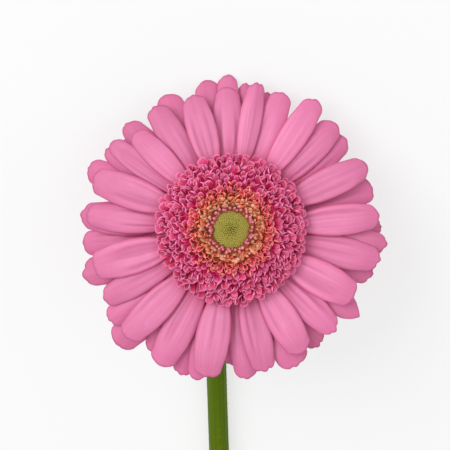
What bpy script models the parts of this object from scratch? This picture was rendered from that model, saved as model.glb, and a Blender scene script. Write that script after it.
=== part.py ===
"""A cut gerbera lying on its back: the stem runs along the table and the head leans on its
foremost ray florets.

The head is modelled in its own frame, which an empty then tilts and places: +X to the right of
the face, +Y to the top of the face, away from the stem, and +Z out of the face along the head's
axis. Bearings run clockwise from the top of the face. The finished part has +Z up, the stem
along +Y and its origin under the middle of its bounding box, on the table.
"""

import math
import random

import bmesh
import bpy
from mathutils import Matrix, Vector

MM = 0.001
SEED = 11

# Pose of the head on its stem
HEAD_TILT = math.radians(31.5)  # how far the face leans off level, towards its top
NECK_RADIUS = 30 * MM  # bend of the stem just below the head
STEM_LENGTH = 395 * MM  # along the table, past the bend
STEM_RADIUS_AT_NECK = 3.75 * MM
STEM_RADIUS_AT_CUT = 4.5 * MM
STEM_SIDESTEP = 6.3 * MM  # the stem runs beside the head's axis, not under it
STEM_BOW = 9 * MM  # slight curve of the stem in plan

# Receptacle, the green cup that every floret grows from
CUP_RADIUS = 12.6 * MM
CUP_TOP = 0.5 * MM
CUP_BASE = -17.0 * MM
GAP = 0.3 * MM  # kept between neighbouring pieces

# Ray florets, in five tiers from the face (0) to the back (4)
RAY_THICKNESS = 0.55 * MM
RAY_ROOT = CUP_RADIUS + 2.2 * GAP
TIER_STEP = 0.95 * MM
TOP_TIER_RISE = math.radians(4.6)
TIER_RISE_STEP = math.radians(2.2)
RAY_DROOP = 2.2 * MM  # how far every tip curves back
RAY_ARCH = 0.1  # drop of an edge, as a share of the half breadth
RAY_ROLL = math.radians(4.0)
RAY_SWEEP = 0.5 * MM
# Outline of a ray floret: share of its length, share of its half breadth
RAY_OUTLINE = (
    (0.0, 0.17),
    (0.14, 0.25),
    (0.30, 0.48),
    (0.46, 0.74),
    (0.64, 0.94),
    (0.80, 1.0),
    (0.92, 0.76),
    (1.0, 0.27),
)
# Each ray floret: bearing (degrees), reach from the axis (mm), breadth (mm), tier
RAYS = (
    (6.0, 54.0, 7.4, 3),
    (10, 54.3, 8.0, 0),
    (15, 52.2, 8.0, 4),
    (20.8, 53.4, 9.8, 1),
    (33.8, 56.5, 9.9, 0),
    (44.5, 54.4, 11.0, 1),
    (52, 53.7, 10.5, 2),
    (64.3, 54.7, 10.8, 0),
    (74.2, 54.0, 11.2, 2),
    (85, 54.2, 11.0, 0),
    (88.5, 55.2, 8.5, 3),
    (95.3, 57.6, 10.4, 2),
    (101.5, 55.7, 11.2, 1),
    (107.5, 54.7, 10.8, 3),
    (119, 51.0, 12.5, 0),
    (124.2, 56.9, 10.4, 2),
    (134.6, 53.5, 10.5, 1),
    (142.5, 53.8, 9.5, 3),
    (150.5, 52.0, 11.5, 0),
    (154.6, 55.7, 13.8, 2),
    (166.3, 53.4, 10.4, 1),
    (173.5, 55.1, 10.2, 2),
    (179.5, 49.8, 8.4, 3),
    (189.5, 54.5, 12.0, 0),
    (193.5, 56.6, 8.8, 2),
    (199, 56.5, 9.0, 3),
    (207.8, 56.1, 11.6, 1),
    (224, 54.9, 11.2, 0),
    (225, 59.6, 13.2, 3),
    (233, 55.8, 10.0, 2),
    (241, 53.1, 9.8, 1),
    (253, 57.0, 12.4, 2),
    (254.5, 52.0, 12.5, 0),
    (264, 54.6, 10.6, 3),
    (275.5, 53.2, 10.2, 1),
    (275.4, 55.4, 11.6, 2),
    (290.4, 53.6, 11.6, 0),
    (293.4, 57.2, 11.0, 3),
    (302.3, 54.4, 8.2, 2),
    (305.5, 54.0, 8.0, 1),
    (309.5, 51.6, 7.4, 4),
    (315.5, 49.9, 9.0, 0),
    (315.2, 54.8, 10.0, 3),
    (328, 53.0, 10.2, 1),
    (334.5, 55.0, 11.4, 4),
    (343.5, 50.9, 10.5, 0),
    (350.3, 55.4, 11.0, 3),
    (358, 51.9, 10.5, 1),
    (358.7, 56.5, 8.5, 2),
    (213.5, 53.4, 9.0, 2),
)

# Rings of small florets and of bracts. Each is a crown: a collar that splits into lobes.
# name: lobes, then radius and height (mm) of its root, shoulder, middle and tip
FLORET_RINGS = {
    "trans_florets_outer": (48, (11.7, 0.8), (14.0, 3.9), (21.6, 4.7), (28.2, 3.3)),
    "trans_florets_middle": (44, (10.5, 0.8), (12.1, 5.6), (18.7, 6.7), (24.8, 5.3)),
    "trans_florets_inner": (40, (9.4, 0.8), (10.6, 6.8), (15.8, 8.3), (20.8, 7.4)),
    "disc_florets_outer": (36, (8.3, 0.8), (9.1, 7.4), (12.5, 9.3), (16.6, 9.4)),
    "disc_florets_inner": (28, (7.2, 0.8), (7.6, 7.3), (9.3, 9.5), (11.8, 10.2)),
}
FLORET_THICKNESS = 0.6 * MM
BRACT_RINGS = {
    "bracts_inner": (21, (8.0, -13.7), (12.1, -9.7), (15.2, -7.5), (19.0, -6.4)),
    "bracts_outer": (19, (7.2, -16.1), (11.6, -12.4), (14.0, -10.6), (16.2, -9.4)),
}
BRACT_THICKNESS = 0.7 * MM
LOBE_MIDDLE, LOBE_TIP = 0.74, 0.4  # widths of a lobe, as shares of the collar's pitch

# The eye: unopened buds packed into a low dome with a dimple
BUD_DISC_RADIUS = 6.6 * MM
BUD_DISC_TOP = 7.6 * MM

COLOURS = {
    "ray": ((0.78, 0.22, 0.40), 0.55),
    "trans_floret": ((0.55, 0.07, 0.19), 0.55),
    "disc_floret": ((0.60, 0.14, 0.07), 0.55),
    "bud": ((0.32, 0.28, 0.06), 0.6),
    "bract": ((0.16, 0.25, 0.05), 0.65),
    "receptacle": ((0.22, 0.32, 0.08), 0.65),
    "stem": ((0.11, 0.19, 0.01), 0.5),
}


def clear_scene():
    for thing in list(bpy.data.objects):
        bpy.data.objects.remove(thing)


def material(slot):
    """The plain material of a slot, made once."""
    found = bpy.data.materials.get(slot)
    if found:
        return found
    colour, roughness = COLOURS[slot]
    made = bpy.data.materials.new(slot)
    made.use_nodes = True
    surface = made.node_tree.nodes["Principled BSDF"]
    surface.inputs["Base Color"].default_value = (*colour, 1)
    surface.inputs["Roughness"].default_value = roughness
    surface.inputs["Metallic"].default_value = 0
    return made


def object_from(name, mesh_or_curve, slot, parent=None):
    made = bpy.data.objects.new(name, mesh_or_curve)
    made.data.materials.append(material(slot))
    bpy.context.scene.collection.objects.link(made)
    made.parent = parent
    return made


def thicken(sheet, thickness):
    """Gives a sheet its thickness, half to each side."""
    shell = sheet.modifiers.new("thickness", "SOLIDIFY")
    shell.thickness = thickness
    shell.offset = 0


def turned(name, profile, steps, slot, parent):
    """A body turned about the head's axis, from (radius, height) points, top to bottom."""
    mesh = bpy.data.meshes.new(name)
    points = [(radius, 0, height) for radius, height in profile]
    mesh.from_pydata(points, [(i, i + 1) for i in range(len(points) - 1)], [])
    made = object_from(name, mesh, slot, parent)
    screw = made.modifiers.new("turn", "SCREW")
    screw.steps = steps
    screw.render_steps = steps
    screw.use_merge_vertices = True
    screw.merge_threshold = 0.00001
    screw.use_smooth_shade = True
    return made


def head_frame():
    """The empty that the head hangs on, at the middle of the face."""
    head = bpy.data.objects.new("head_frame", None)
    bpy.context.scene.collection.objects.link(head)
    cut = HEAD_TILT
    right = Vector((-1, 0, 0))
    top = Vector((0, -math.cos(cut), -math.sin(cut)))
    out = Vector((0, -math.sin(cut), math.cos(cut)))
    height = (
        STEM_RADIUS_AT_NECK
        + NECK_RADIUS * (1 - math.sin(cut))
        - (CUP_BASE - GAP) * math.cos(cut)
    )
    axes = Matrix((right, top, out)).transposed().to_4x4()
    head.matrix_world = Matrix.Translation((0, 0, height)) @ axes
    bpy.context.view_layer.update()
    return head


def ray_rise(tier, along, length):
    """Height of a ray floret's middle line above the face plane."""
    slope = math.tan(TOP_TIER_RISE - tier * TIER_RISE_STEP)
    return -tier * TIER_STEP + along * slope - RAY_DROOP * (along / length) ** 3


def table_lift(head, bearing, reach, height):
    """How far the table bends up a tip that would otherwise sink into it."""
    tip = Vector((reach * math.sin(bearing), reach * math.cos(bearing), height))
    low = (head.matrix_world @ tip).z - RAY_THICKNESS
    return max(0.0, -low / math.cos(HEAD_TILT))


def ray_floret(name, head, bearing, reach, breadth, tier, chance):
    """A strap-shaped petal, narrow at its root, laid out along +X and turned to its bearing."""
    length = reach - RAY_ROOT
    roll = chance.uniform(-RAY_ROLL, RAY_ROLL)
    sweep = chance.uniform(-RAY_SWEEP, RAY_SWEEP)
    lift = table_lift(head, bearing, reach, ray_rise(tier, length, length))
    points = []
    for share, width in RAY_OUTLINE:
        half = width * breadth / 2
        middle = ray_rise(tier, share * length, length)
        middle += lift * share * share * (3 - share) / 2
        for side in (-1, 0, 1):
            drop = abs(side) * RAY_ARCH * half
            across = side * half
            points.append(
                (
                    RAY_ROOT + share * length,
                    across * math.cos(roll) + sweep * share * share,
                    middle - drop + across * math.sin(roll) * share,
                )
            )
    faces = [
        (3 * row + side, 3 * row + side + 3, 3 * row + side + 4, 3 * row + side + 1)
        for row in range(len(RAY_OUTLINE) - 1)
        for side in (0, 1)
    ]
    mesh = bpy.data.meshes.new(name)
    mesh.from_pydata(points, [], faces)
    mesh.shade_smooth()
    ray = object_from(name, mesh, "ray", head)
    ray.rotation_euler.z = math.pi / 2 - bearing
    thicken(ray, RAY_THICKNESS)
    return ray


def crown(name, head, lobes, profile, thickness, slot, start=0.0):
    """A collar that splits into lobes: profile gives its root, shoulder, middle and tip."""
    root, shoulder, middle, tip = [(r * MM, h * MM) for r, h in profile]
    pitch = 2 * math.pi / lobes

    def place(circle, angle):
        radius, height = circle
        return (radius * math.cos(angle), radius * math.sin(angle), height)

    shape = bmesh.new()
    low = [shape.verts.new(place(root, start + i * pitch)) for i in range(lobes)]
    high = [shape.verts.new(place(shoulder, start + i * pitch)) for i in range(lobes)]
    for i in range(lobes):
        after = (i + 1) % lobes
        centre = start + (i + 0.5) * pitch
        near, far = (
            [
                shape.verts.new(place(circle, centre + side * width * pitch / 2))
                for side in (-1, 1)
            ]
            for circle, width in ((middle, LOBE_MIDDLE), (tip, LOBE_TIP))
        )
        shape.faces.new((low[i], low[after], high[after], high[i]))
        shape.faces.new((high[i], high[after], near[1], near[0]))
        shape.faces.new((near[0], near[1], far[1], far[0]))
    mesh = bpy.data.meshes.new(name)
    shape.to_mesh(mesh)
    shape.free()
    mesh.shade_smooth()
    ring = object_from(name, mesh, slot, head)
    thicken(ring, thickness)
    return ring


def receptacle(head):
    """The cup under the florets, closed at its flat top and at the flat seat of the stem."""
    profile = (
        (0, CUP_TOP),
        (CUP_RADIUS - 0.6 * MM, CUP_TOP),
        (CUP_RADIUS, CUP_TOP - 0.6 * MM),
        (CUP_RADIUS, -5.2 * MM),
        (11.6 * MM, -8.2 * MM),
        (9.4 * MM, -11.2 * MM),
        (6.6 * MM, -13.9 * MM),
        (4.6 * MM, -15.7 * MM),
        (4.0 * MM, CUP_BASE),
        (0, CUP_BASE),
    )
    turned("receptacle", profile, 24, "receptacle", head)


def bud_disc(head):
    profile = (
        (0, BUD_DISC_TOP - 0.5 * MM),
        (1.0 * MM, BUD_DISC_TOP - 0.1 * MM),
        (3.6 * MM, BUD_DISC_TOP),
        (5.7 * MM, BUD_DISC_TOP - 0.7 * MM),
        (BUD_DISC_RADIUS, BUD_DISC_TOP - 2.2 * MM),
        (BUD_DISC_RADIUS - 0.5 * MM, CUP_TOP + GAP),
        (0, CUP_TOP + GAP),
    )
    turned("bud_disc", profile, 24, "bud", head)


def stem_points(head):
    """Points down the middle of the stem, each with its share of the whole length."""
    seat = head.matrix_world @ Vector((0, 0, CUP_BASE - GAP))
    turn = math.pi / 2 - HEAD_TILT
    bend_steps, run_steps = 12, 22
    points = []
    for i in range(bend_steps):
        angle = turn * (1 - i / bend_steps)
        along = NECK_RADIUS * (math.sin(turn) - math.sin(angle))
        drop = NECK_RADIUS * (math.cos(angle) - math.cos(turn))
        points.append(Vector((0, seat.y + along, seat.z - drop)))
    floor_start = seat.y + NECK_RADIUS * math.sin(turn)
    for i in range(run_steps + 1):
        share = i / run_steps
        points.append(Vector((0, floor_start + share * STEM_LENGTH, 0)))
    whole = points[-1].y - points[0].y
    shares = [(point.y - points[0].y) / whole for point in points]
    for i, (point, share) in enumerate(zip(points, shares)):
        settle = min(1.0, share * whole / (55 * MM))
        ease = settle * settle * (3 - 2 * settle)
        point.x = STEM_SIDESTEP * ease - STEM_BOW * math.sin(math.pi * share) * share
        if i >= bend_steps:
            point.z = stem_radius(share)
    return points, shares


def stem_radius(share):
    return STEM_RADIUS_AT_NECK + (STEM_RADIUS_AT_CUT - STEM_RADIUS_AT_NECK) * share


def stem(head):
    points, shares = stem_points(head)
    curve = bpy.data.curves.new("stem", "CURVE")
    curve.dimensions = "3D"
    curve.bevel_depth = 1.0
    curve.bevel_resolution = 4
    curve.use_fill_caps = True
    line = curve.splines.new("POLY")
    line.points.add(len(points) - 1)
    for spot, point, share in zip(line.points, points, shares):
        spot.co = (*point, 1)
        spot.radius = stem_radius(share)
    object_from("stem", curve, "stem")


def stand_on_origin():
    """Moves the whole flower so that its box stands on the origin, middle over it."""
    bpy.context.view_layer.update()
    graph = bpy.context.evaluated_depsgraph_get()
    corners = []
    for thing in bpy.context.scene.objects:
        if thing.type != "EMPTY":
            solid = thing.evaluated_get(graph)
            mesh = solid.to_mesh()
            corners += [solid.matrix_world @ vertex.co for vertex in mesh.vertices]
            solid.to_mesh_clear()
    low = Vector([min(corner[i] for corner in corners) for i in range(3)])
    high = Vector([max(corner[i] for corner in corners) for i in range(3)])
    shift = Vector((-(low.x + high.x) / 2, -(low.y + high.y) / 2, -low.z))
    for thing in bpy.context.scene.objects:
        if thing.parent is None:
            thing.location += shift


def main():
    clear_scene()
    chance = random.Random(SEED)
    head = head_frame()
    receptacle(head)
    bud_disc(head)
    for name, (lobes, *profile) in FLORET_RINGS.items():
        slot = "trans_floret" if name.startswith("trans") else "disc_floret"
        crown(name, head, lobes, profile, FLORET_THICKNESS, slot)
    for name, (lobes, *profile) in BRACT_RINGS.items():
        crown(name, head, lobes, profile, BRACT_THICKNESS, "bract")
    for number, (bearing, reach, breadth, tier) in enumerate(RAYS, 1):
        name = f"ray_floret_{number:02d}"
        size = (reach * MM, breadth * MM)
        ray_floret(name, head, math.radians(bearing), *size, tier, chance)
    stem(head)
    stand_on_origin()


main()
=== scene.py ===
"""The looks of a cut gerbera: every floret, bract, hair and the stem, built round its solid model.

The head is made in its own frame, taken from the model: +X to the right of the face, +Y to the
top of the face and +Z out of the face along the head's axis, with bearings clockwise from the
top. Each finished piece is then turned into the model's frame, where +Z is up.
"""

import math
import random

import bmesh
import bpy
import numpy as np
from mathutils import Matrix, Vector


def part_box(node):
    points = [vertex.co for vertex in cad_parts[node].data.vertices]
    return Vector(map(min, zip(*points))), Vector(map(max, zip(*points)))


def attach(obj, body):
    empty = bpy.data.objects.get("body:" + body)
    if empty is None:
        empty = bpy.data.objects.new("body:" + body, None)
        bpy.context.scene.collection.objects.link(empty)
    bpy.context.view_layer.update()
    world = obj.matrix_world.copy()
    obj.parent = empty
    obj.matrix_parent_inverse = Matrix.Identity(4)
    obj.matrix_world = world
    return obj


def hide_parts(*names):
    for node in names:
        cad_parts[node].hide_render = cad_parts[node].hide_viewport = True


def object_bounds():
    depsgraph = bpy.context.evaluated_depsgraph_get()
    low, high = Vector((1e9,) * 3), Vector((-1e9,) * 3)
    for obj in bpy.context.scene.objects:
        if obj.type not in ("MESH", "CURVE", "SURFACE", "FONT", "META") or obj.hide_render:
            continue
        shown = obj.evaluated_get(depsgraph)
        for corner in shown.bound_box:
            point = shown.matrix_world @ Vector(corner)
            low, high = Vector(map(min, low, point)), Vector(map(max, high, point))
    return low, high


bl_info = {
    "name": "Cut gerbera",
    "version": (1, 0, 0),
    "blender": (4, 5, 0),
    "location": "3D View > Sidebar > Gerbera",
    "description": "Builds a cut gerbera round its solid model",
    "category": "Add Mesh",
}

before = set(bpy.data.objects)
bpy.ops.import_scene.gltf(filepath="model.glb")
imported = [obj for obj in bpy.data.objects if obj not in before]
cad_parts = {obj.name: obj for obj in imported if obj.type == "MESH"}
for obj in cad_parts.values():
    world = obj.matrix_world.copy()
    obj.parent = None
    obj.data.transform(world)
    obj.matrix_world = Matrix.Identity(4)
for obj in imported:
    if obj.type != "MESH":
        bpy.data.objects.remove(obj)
CAD_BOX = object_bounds()

MM = 0.001
GOLDEN_TURN = math.pi * (3 - math.sqrt(5))
RIM_DEPTH = 0.5 * MM  # how near to the largest radius a corner lies that is on the rim
SECTION_GAP = 0.9 * MM  # two cross-sections of a ray's solid lie further apart than this
TABLE_GAP = 0.1 * MM  # the least height of a ray over the table


def tint(red, green, blue):
    """A colour as it shows on a display, 0 to 255, turned into scene values."""
    shares = [value / 255 for value in (red, green, blue)]
    return tuple(s / 12.92 if s < 0.04045 else ((s + 0.055) / 1.055) ** 2.4 for s in shares)


# ---------------------------------------------------------------- the solid model's own places


def corners(node):
    """The corners of a solid of the model, each of them once."""
    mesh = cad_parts[node].data
    places = np.empty(len(mesh.vertices) * 3)
    mesh.vertices.foreach_get("co", places)
    return np.unique(places.reshape(-1, 3).round(7), axis=0)


def head_frame():
    """Where the head stands: its centre is on the axis of the receptacle, at the cup's top."""
    cup, buds = corners("receptacle"), corners("bud_disc")
    out = Vector(buds.mean(0) - cup.mean(0)).normalized()
    right = Vector((-1, 0, 0))
    top = out.cross(right).normalized()
    right = top.cross(out)
    axis_point = Vector(cup.mean(0))
    cup_top = max((Vector(corner) - axis_point).dot(out) for corner in cup)
    axes = Matrix((right, top, out)).transposed().to_4x4()
    return Matrix.Translation(axis_point + out * cup_top) @ axes


HEAD = head_frame()


def in_head(places):
    """Points of the model in the head's frame."""
    back = np.array(HEAD.inverted())
    return places @ back[:3, :3].T + back[:3, 3]


def rim_of(node):
    """(radius, height) of the outer edge of a ring of florets or bracts."""
    places = in_head(corners(node))
    radii = np.hypot(places[:, 0], places[:, 1])
    edge = radii > radii.max() - RIM_DEPTH
    return radii.max(), places[edge, 2].mean()


def ray_profile(node):
    """A ray floret's bearing and its middle line, read from its solid at every cross-section."""
    places = in_head(corners(node))
    middle = places.mean(0)
    bearing = math.atan2(middle[0], middle[1])
    turn = np.array(Matrix.Rotation(bearing - math.pi / 2, 3, "Z"))
    places = places @ turn.T
    places = places[np.argsort(places[:, 0])]
    breaks = np.where(np.diff(places[:, 0]) > SECTION_GAP)[0] + 1
    rows = []
    for row in np.split(places, breaks):
        spread = row[:, 1].max() - row[:, 1].min()
        ends = row[np.argsort(row[:, 1])]
        low_side, high_side = ends[:2, 2].mean(), ends[-2:, 2].mean()
        centre = (row[:, 1].max() + row[:, 1].min()) / 2
        core = row[np.argsort(abs(row[:, 1] - centre))[:2], 2].mean()
        rows.append((row[:, 0].mean(), centre, core, spread / 2, (high_side - low_side) / spread))
    return bearing, np.array(rows).T


# ------------------------------------------------------------------------------ node trees


class Field:
    """A value in a node tree, so that a formula can be written as one."""

    def __init__(self, nodes, socket):
        self.nodes = nodes
        self.socket = socket

    def _math(self, operation, *others):
        return self.nodes.math(operation, self, *others)

    def __add__(self, other):
        return self._math("ADD", other)

    def __sub__(self, other):
        return self._math("SUBTRACT", other)

    def __rsub__(self, other):
        return self.nodes.math("SUBTRACT", other, self)

    def __mul__(self, other):
        return self._math("MULTIPLY", other)

    def __truediv__(self, other):
        return self._math("DIVIDE", other)

    def __pow__(self, other):
        return self._math("POWER", other)

    __radd__ = __add__
    __rmul__ = __mul__


class Nodes:
    """Adds nodes to a tree and links them."""

    def __init__(self, tree):
        self.tree = tree

    def feed(self, socket, value):
        if isinstance(value, Field):
            self.tree.links.new(value.socket, socket)
        else:
            socket.default_value = value

    def add(self, kind, inputs=(), output=0, **settings):
        node = self.tree.nodes.new(kind)
        for name, value in settings.items():
            setattr(node, name, value)
        for name, value in dict(inputs).items():
            self.feed(node.inputs[name], value)
        return Field(self, node.outputs[output])

    def math(self, operation, *values):
        return self.add("ShaderNodeMath", enumerate(values), operation=operation)

    def combine(self, x, y, z):
        return self.add("ShaderNodeCombineXYZ", {"X": x, "Y": y, "Z": z})

    def blend(self, share, low, high):
        return low + (high - low) * share

    def ease(self, value, start, end):
        """0 before start, 1 after end, with a smooth step between."""
        inputs = {"Value": value, "From Min": start, "From Max": end}
        return self.add("ShaderNodeMapRange", inputs, interpolation_type="SMOOTHSTEP")

    def mix(self, share, first, second, how="MIX"):
        """Mixes two colours."""
        inputs = {0: share, 6: first, 7: second}
        return self.add("ShaderNodeMix", inputs, 2, data_type="RGBA", blend_type=how)

    def noise(self, vector, scale, detail=2.0, roughness=0.5):
        inputs = {"Vector": vector, "Scale": scale, "Detail": detail, "Roughness": roughness}
        return self.add("ShaderNodeTexNoise", inputs)

    def ramp(self, value, *stops):
        """Colours along a value, from (place, colour) stops."""
        result = self.add("ShaderNodeValToRGB", {0: value})
        band = result.socket.node.color_ramp
        while len(band.elements) < len(stops):
            band.elements.new(0.5)
        for element, (place, colour) in zip(band.elements, stops):
            element.position = place
            element.color = opaque(colour)
        return result


def opaque(colour):
    return (*colour[:3], 1.0)


def finish_of(name, roughness, **fixed):
    """A material whose looks are the same all over but for what is fed to it afterwards."""
    material = bpy.data.materials.new(name)
    material.use_nodes = True
    surface = material.node_tree.nodes["Principled BSDF"]
    surface.inputs["Roughness"].default_value = roughness
    for socket, value in fixed.items():
        surface.inputs[socket.replace("_", " ")].default_value = value
    return material, Nodes(material.node_tree), surface


def on_strap(nodes):
    """Places on a strap from its UV map: across it (-1 to 1), along it (0 to 1)."""
    uv = nodes.add("ShaderNodeTexCoord", output="UV")
    split = nodes.add("ShaderNodeSeparateXYZ", {0: uv})
    along = Field(nodes, split.socket.node.outputs["Y"])
    return split * 2 - 1, along


def attribute(nodes, name):
    return nodes.add("ShaderNodeAttribute", output="Fac", attribute_name=name)


def relief(nodes, surface, height, depth):
    """Raises the surface by a height from 0 to 1."""
    inputs = {"Height": height, "Distance": depth, "Strength": 1.0}
    nodes.feed(surface.inputs["Normal"], nodes.add("ShaderNodeBump", inputs))


# ------------------------------------------------------------------------------- materials


def ray_finish(colours):
    """Petal skin: fine lengthwise stripes, painted shade in the grooves, a deeper rim and tip that are partly
    painted shade, a magenta root, painted shade in the slots near the root and on the lower rays, and a paler
    back.
    """
    fixed = {"Subsurface_Weight": 0.06, "Subsurface_Radius": (1.0, 0.35, 0.45)}
    material, nodes, surface = finish_of("ray_skin", 0.55, **fixed, Subsurface_Scale=0.6 * MM)
    across, along = on_strap(nodes)
    tone = attribute(nodes, "tone")
    under = attribute(nodes, "underside")
    groove = attribute(nodes, "groove")
    depth = attribute(nodes, "depth")
    drift = nodes.combine(across * 3.1, along * 0.55, tone * 40)
    stripes = nodes.noise(drift, 2.2, 3.0, 0.55)
    fine = nodes.noise(nodes.combine(across * 14, along * 1.1, tone * 40), 2.0, 2.0)
    mottle = nodes.noise(nodes.combine(across * 2, along * 6, tone * 17), 1.6, 3.0)
    light = nodes.mix(nodes.ease(stripes, 0.26, 0.74), opaque(colours.ray_mid), opaque(colours.ray))
    light = nodes.mix(nodes.ease(fine, 0.35, 0.85) * 0.14, light, opaque(colours.ray_pale))
    light = nodes.mix(nodes.ease(mottle, 0.5, 0.8) * 0.25, light, opaque(colours.ray_pale))
    # Painted shade in the grooves, where the ray's surface dips.
    light = nodes.mix(groove * 0.36, light, opaque(colours.ray_edge_and_crease_shade))
    off_middle = nodes.math("ABSOLUTE", across)
    # A deeper rim along the edges, partly painted shade where the arched ray turns from the light.
    rim = nodes.ease(off_middle, 0.78, 1.0) * nodes.ease(along, 0.3, 0.6)
    light = nodes.mix(rim * 0.4, light, opaque(colours.ray_deep_and_shade))
    # Painted shade in the slots between neighbouring rays near their roots.
    slot = nodes.ease(off_middle, 0.8, 1.0) * (1 - nodes.ease(along, 0.45, 0.9))
    light = nodes.mix(slot * 0.7, light, opaque(colours.ray_root))
    # Darker towards the tip, partly painted shade.
    light = nodes.mix(nodes.ease(along, 0.6, 1.0) * 0.55, light, opaque(colours.ray_deep_and_shade))
    line = nodes.math("MAXIMUM", nodes.ease(off_middle, 0.93, 1.0), nodes.ease(along, 0.972, 1.0))
    light = nodes.mix(line * 0.6, light, opaque(colours.ray_edge_and_crease_shade))
    # A magenta root, reaching further up the lower rays as painted shade where they show between the upper
    # ones.
    root = 1 - nodes.ease(along, 0.16, 0.46 + depth * 0.3)
    light = nodes.mix(root * 0.85, light, opaque(colours.ray_root))
    # Painted shade on the lower rays, which lie under the others.
    light = nodes.mix(depth * 0.3, light, opaque(colours.ray_deep_and_shade))
    light = nodes.mix(under * 0.45, light, opaque(colours.ray_back))
    shade = nodes.blend(tone, 0.92, 1.04)
    light = nodes.mix(1.0, light, nodes.combine(shade, shade, shade), "MULTIPLY")
    nodes.feed(surface.inputs["Base Color"], light)
    nodes.feed(surface.inputs["Roughness"], nodes.blend(mottle, 0.45, 0.65))
    relief(nodes, surface, fine * 0.4 + stripes * 0.6, 0.08 * MM)
    return material


def floret_finish(name, inner, outer, palette=()):
    """A small floret: a dark hollow, which is painted shade where the next floret covers it, a coloured strap
    and a pale lip, partly a painted highlight on its rolled edge, each given for the inner and the outer
    florets of its group. A palette gives the florets straps of many colours instead."""
    fixed = {"Subsurface_Weight": 0.05, "Subsurface_Radius": (1.0, 0.3, 0.35)}
    material, nodes, surface = finish_of(name, 0.5, **fixed, Subsurface_Scale=0.4 * MM)
    across, along = on_strap(nodes)
    tone, span = attribute(nodes, "tone"), attribute(nodes, "span")
    hollow, body, lip = (nodes.mix(span, opaque(a), opaque(b)) for a, b in zip(inner, outer))
    if palette:
        step = 1 / (len(palette) - 1)
        body = nodes.ramp(tone, *((i * step, colour) for i, colour in enumerate(palette)))
        lip = nodes.mix(0.4, body, lip)
    grain = nodes.noise(nodes.combine(across * 2, along * 3, tone * 60), 2.2, 3.0)
    # Painted shade: the strap is dark at the foot of its seen stretch, where the next floret covers it.
    light = nodes.mix(nodes.ease(along, 0.35, 0.9), hollow, body)
    off_middle = nodes.math("ABSOLUTE", across)
    # A pale lip along the edges and the tip, partly a painted highlight on the rolled edge.
    rim = nodes.math("MAXIMUM", nodes.ease(off_middle, 0.68, 0.94), nodes.ease(along, 0.88, 0.99))
    rim = rim * nodes.ease(along, 0.3, 0.65)
    light = nodes.mix(rim * 0.85, light, lip)
    light = nodes.mix(nodes.ease(grain, 0.5, 0.75) * 0.25, light, body)
    shade = nodes.blend(nodes.math("FRACT", tone * 7.3), 0.86, 1.12)
    light = nodes.mix(1.0, light, nodes.combine(shade, shade, shade), "MULTIPLY")
    nodes.feed(surface.inputs["Base Color"], light)
    nodes.feed(surface.inputs["Roughness"], nodes.blend(grain, 0.42, 0.65))
    relief(nodes, surface, grain, 0.05 * MM)
    return material


def lobe_finish(name, root, body, tip):
    """A narrow curled lobe, palest a little before its end."""
    material, nodes, surface = finish_of(name, 0.5)
    _, along = on_strap(nodes)
    tone = attribute(nodes, "tone")
    light = nodes.ramp(along, (0.0, root), (0.25, body), (0.6, tip), (1.0, body))
    shade = nodes.blend(tone, 0.84, 1.1)
    light = nodes.mix(1.0, light, nodes.combine(shade, shade, shade), "MULTIPLY")
    nodes.feed(surface.inputs["Base Color"], light)
    return material


def bud_finish(name, deep, middle, top, spread):
    """Unopened buds: dark at their feet, which is painted shade between them, lighter on top; spread is how
    much they differ.
    """
    material, nodes, surface = finish_of(name, 0.55, Subsurface_Weight=0.05, Subsurface_Scale=MM)
    _, along = on_strap(nodes)
    tone, span = attribute(nodes, "tone"), attribute(nodes, "span")
    # Painted shade: each bud is dark at its foot, which shows only between the buds.
    light = nodes.ramp(along, (0.0, deep), (0.45, deep), (0.72, middle), (1.0, top))
    dimple = 1 - nodes.ease(span, 0.0, 0.16)
    light = nodes.mix(dimple * 0.55, light, opaque(deep))
    shade = nodes.blend(tone, 1 - spread, 1 + spread)
    light = nodes.mix(1.0, light, nodes.combine(shade, shade, shade), "MULTIPLY")
    nodes.feed(surface.inputs["Base Color"], light)
    return material


def bed_finish(name, deep, tube):
    """The crowded tubes under the small florets, seen only as dark gaps."""
    material, nodes, surface = finish_of(name, 0.7)
    place = nodes.add("ShaderNodeTexCoord", output="Object")
    cells = nodes.add("ShaderNodeTexVoronoi", {"Vector": place, "Scale": 1300.0})
    colour = nodes.mix(nodes.ease(cells, 0.15, 0.6), opaque(deep), opaque(tube))
    nodes.feed(surface.inputs["Base Color"], colour)
    relief(nodes, surface, cells, 0.3 * MM)
    return material


def green_finish(name, deep, light_green, edge, ribs):
    """Bract and stem skin: lengthwise ribs over a soft mottle."""
    material, nodes, surface = finish_of(name, 0.55, Specular_IOR_Level=0.12)
    across, along = on_strap(nodes)
    place = nodes.add("ShaderNodeTexCoord", output="Object")
    mottle = nodes.noise(place, 260.0, 4.0, 0.6)
    streak = nodes.noise(nodes.combine(across * ribs, along * 2.5, 0.0), 1.4, 3.0, 0.55)
    colour = nodes.mix(nodes.ease(streak, 0.35, 0.7), opaque(deep), opaque(light_green))
    colour = nodes.mix(nodes.ease(mottle, 0.5, 0.75) * 0.35, colour, opaque(edge))
    nodes.feed(surface.inputs["Roughness"], nodes.blend(mottle, 0.5, 0.68))
    relief(nodes, surface, streak * 0.7 + mottle * 0.3, 0.14 * MM)
    return material, nodes, surface, colour, across, along


def bract_finish(colours):
    material, nodes, surface, colour, across, along = green_finish(
        "bract_skin", colours.bract_deep, colours.bract, colours.bract_edge, 5.0
    )
    off_middle = nodes.math("ABSOLUTE", across)
    edge = nodes.math("MAXIMUM", nodes.ease(off_middle, 0.7, 1.0), nodes.ease(along, 0.85, 1.0))
    colour = nodes.mix(edge * 0.6, colour, opaque(colours.bract_edge))
    nodes.feed(surface.inputs["Base Color"], colour)
    return material


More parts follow.
